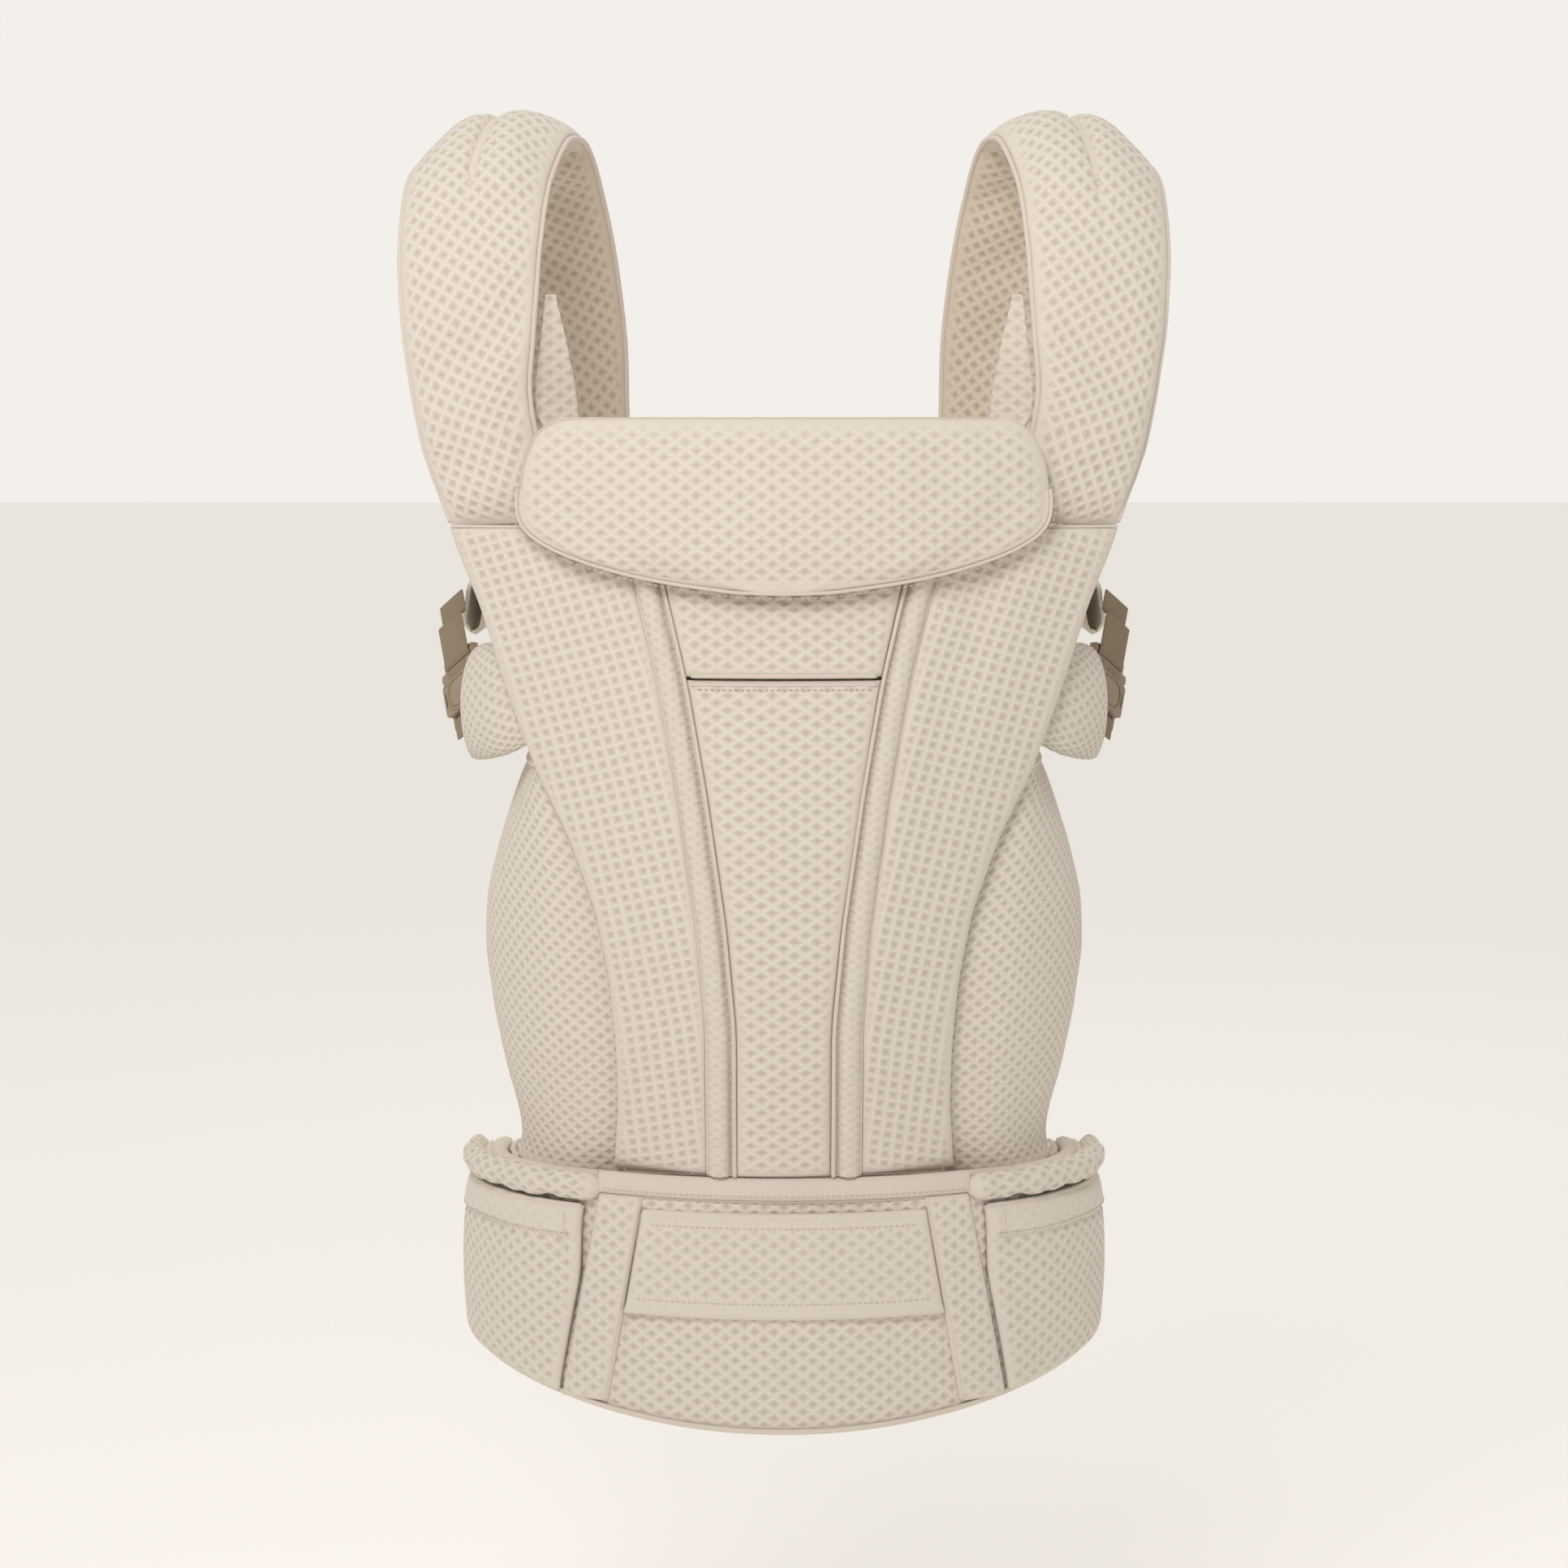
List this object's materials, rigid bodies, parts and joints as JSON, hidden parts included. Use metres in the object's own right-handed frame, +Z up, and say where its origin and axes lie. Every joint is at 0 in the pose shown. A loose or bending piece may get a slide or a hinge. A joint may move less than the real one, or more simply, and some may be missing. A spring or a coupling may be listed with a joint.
{
  "type": "soft baby carrier",
  "caption": "Soft structured baby carrier with padded shoulder straps, fold-down head support, V-shaped panels, padded waist belt and side-release buckles.",
  "frame": {"origin": "middle of the waist opening, at the height of the belt's lowest edge", "axes": "+Z up along the wearer's body, -Y away from the wearer towards the front panel, +X to the right as seen from the front"},
  "size_m": [0.4148, 0.2711, 0.7158],
  "materials": {
    "waffle_fabric": "matte 3-D waffle mesh",
    "trim_fabric": "matte fine knit",
    "lining_fabric": "matte spacer mesh",
    "foam": "open-cell foam",
    "webbing": "ribbed woven webbing",
    "buckle": "satin moulded"
  },
  "bodies": {
    "root": {"centre_panel": "waffle_fabric", "pocket_welt": "trim_fabric", "pocket_bag": "lining_fabric", "panel_left": "waffle_fabric", "panel_right": "waffle_fabric", "tube_left": "trim_fabric", "tube_right": "trim_fabric", "side_panel_left": "waffle_fabric", "side_panel_right": "waffle_fabric", "body_lining": "lining_fabric", "top_hem": "trim_fabric", "strap_cover_left": "waffle_fabric", "strap_cover_right": "waffle_fabric", "strap_foam_left": "foam", "strap_foam_right": "foam", "strap_lining_left": "lining_fabric", "strap_lining_right": "lining_fabric", "strap_gussets": "trim_fabric", "side_wing_left": "waffle_fabric", "side_wing_right": "waffle_fabric", "side_webbing_left": "webbing", "side_webbing_right": "webbing", "side_socket_left": "buckle", "side_socket_right": "buckle", "chest_rails": "webbing", "belt_cover": "waffle_fabric", "belt_foam": "foam", "belt_lining": "lining_fabric", "belt_binding": "trim_fabric", "belt_band": "trim_fabric", "belt_strips": "waffle_fabric", "belt_pouch_left": "waffle_fabric", "belt_pouch_right": "waffle_fabric", "belt_rolls": "waffle_fabric", "hip_webbing_left": "webbing", "hip_webbing_right": "webbing", "waist_socket": "buckle"},
    "head_support": {"head_cover": "waffle_fabric", "head_foam": "foam", "head_lining": "lining_fabric", "head_piping": "trim_fabric"},
    "side_plug_left": {"side_plug_left": "buckle", "side_tail_left": "webbing"},
    "side_prong_front_left": {"side_prong_front_left": "buckle"},
    "side_prong_back_left": {"side_prong_back_left": "buckle"},
    "side_plug_right": {"side_plug_right": "buckle", "side_tail_right": "webbing"},
    "side_prong_front_right": {"side_prong_front_right": "buckle"},
    "side_prong_back_right": {"side_prong_back_right": "buckle"},
    "chest_strap": {"chest_webbing": "webbing", "chest_sliders": "buckle", "chest_socket": "buckle"},
    "chest_plug": {"chest_plug": "buckle", "chest_tail": "webbing"},
    "chest_prong_lower": {"chest_prong_lower": "buckle"},
    "chest_prong_upper": {"chest_prong_upper": "buckle"},
    "waist_plug": {"waist_plug": "buckle", "waist_tail": "webbing"},
    "waist_prong_lower": {"waist_prong_lower": "buckle"},
    "waist_prong_upper": {"waist_prong_upper": "buckle"}
  },
  "joints": [
    {"name": "head_support_fold", "type": "hinge", "parent": "root", "child": "head_support", "pos_m": [0, -0.117, 0.551], "axis": [-1, 0, 0], "range_deg": [0, 160]},
    {"name": "side_plug_left_release", "type": "slide", "parent": "root", "child": "side_plug_left", "axis": [-0.1926, 0.474, 0.8592], "range_m": [0, 0.02]},
    {"name": "side_prong_front_left_squeeze", "type": "hinge", "parent": "side_plug_left", "child": "side_prong_front_left", "pos_m": [-0.17618, 0.01491, 0.41115], "axis": [0.8017, 0.5809, -0.1408], "range_deg": [0, 6], "stiffness_Nm_per_rad": 0.05},
    {"name": "side_prong_back_left_squeeze", "type": "hinge", "parent": "side_plug_left", "child": "side_prong_back_left", "pos_m": [-0.18999, 0.03105, 0.39915], "axis": [0.8017, 0.5809, -0.1408], "range_deg": [-6, 0], "stiffness_Nm_per_rad": 0.05},
    {"name": "side_plug_right_release", "type": "slide", "parent": "root", "child": "side_plug_right", "axis": [0.1926, 0.474, 0.8592], "range_m": [0, 0.02]},
    {"name": "side_prong_front_right_squeeze", "type": "hinge", "parent": "side_plug_right", "child": "side_prong_front_right", "pos_m": [0.17618, 0.01491, 0.41115], "axis": [0.8017, -0.5809, 0.1408], "range_deg": [0, 6], "stiffness_Nm_per_rad": 0.05},
    {"name": "side_prong_back_right_squeeze", "type": "hinge", "parent": "side_plug_right", "child": "side_prong_back_right", "pos_m": [0.18999, 0.03105, 0.39915], "axis": [0.8017, -0.5809, 0.1408], "range_deg": [-6, 0], "stiffness_Nm_per_rad": 0.05},
    {"name": "chest_strap_height", "type": "slide", "parent": "root", "child": "chest_strap", "axis": [0, 0, 1], "range_m": [-0.02, 0.02]},
    {"name": "chest_plug_release", "type": "slide", "parent": "chest_strap", "child": "chest_plug", "axis": [1, 0, 0], "range_m": [0, 0.02]},
    {"name": "chest_prong_lower_squeeze", "type": "hinge", "parent": "chest_plug", "child": "chest_prong_lower", "pos_m": [0.0106, 0.112, 0.4928], "axis": [0, 1, 0], "range_deg": [0, 6], "stiffness_Nm_per_rad": 0.05},
    {"name": "chest_prong_upper_squeeze", "type": "hinge", "parent": "chest_plug", "child": "chest_prong_upper", "pos_m": [0.0106, 0.112, 0.5172], "axis": [0, 1, 0], "range_deg": [-6, 0], "stiffness_Nm_per_rad": 0.05},
    {"name": "waist_plug_release", "type": "slide", "parent": "root", "child": "waist_plug", "axis": [1, 0, 0], "range_m": [0, 0.028]},
    {"name": "waist_prong_lower_squeeze", "type": "hinge", "parent": "waist_plug", "child": "waist_prong_lower", "pos_m": [0.0126, 0.1176, 0.0788], "axis": [0, 1, 0], "range_deg": [0, 6], "stiffness_Nm_per_rad": 0.05},
    {"name": "waist_prong_upper_squeeze", "type": "hinge", "parent": "waist_plug", "child": "waist_prong_upper", "pos_m": [0.0126, 0.1176, 0.1192], "axis": [0, 1, 0], "range_deg": [-6, 0], "stiffness_Nm_per_rad": 0.05}
  ],
  "couplings": [
    {"joint": "side_prong_back_left_squeeze", "follows": "side_prong_front_left_squeeze", "ratio": -1},
    {"joint": "side_prong_back_right_squeeze", "follows": "side_prong_front_right_squeeze", "ratio": -1},
    {"joint": "chest_prong_upper_squeeze", "follows": "chest_prong_lower_squeeze", "ratio": -1},
    {"joint": "waist_prong_upper_squeeze", "follows": "waist_prong_lower_squeeze", "ratio": -1}
  ]
}
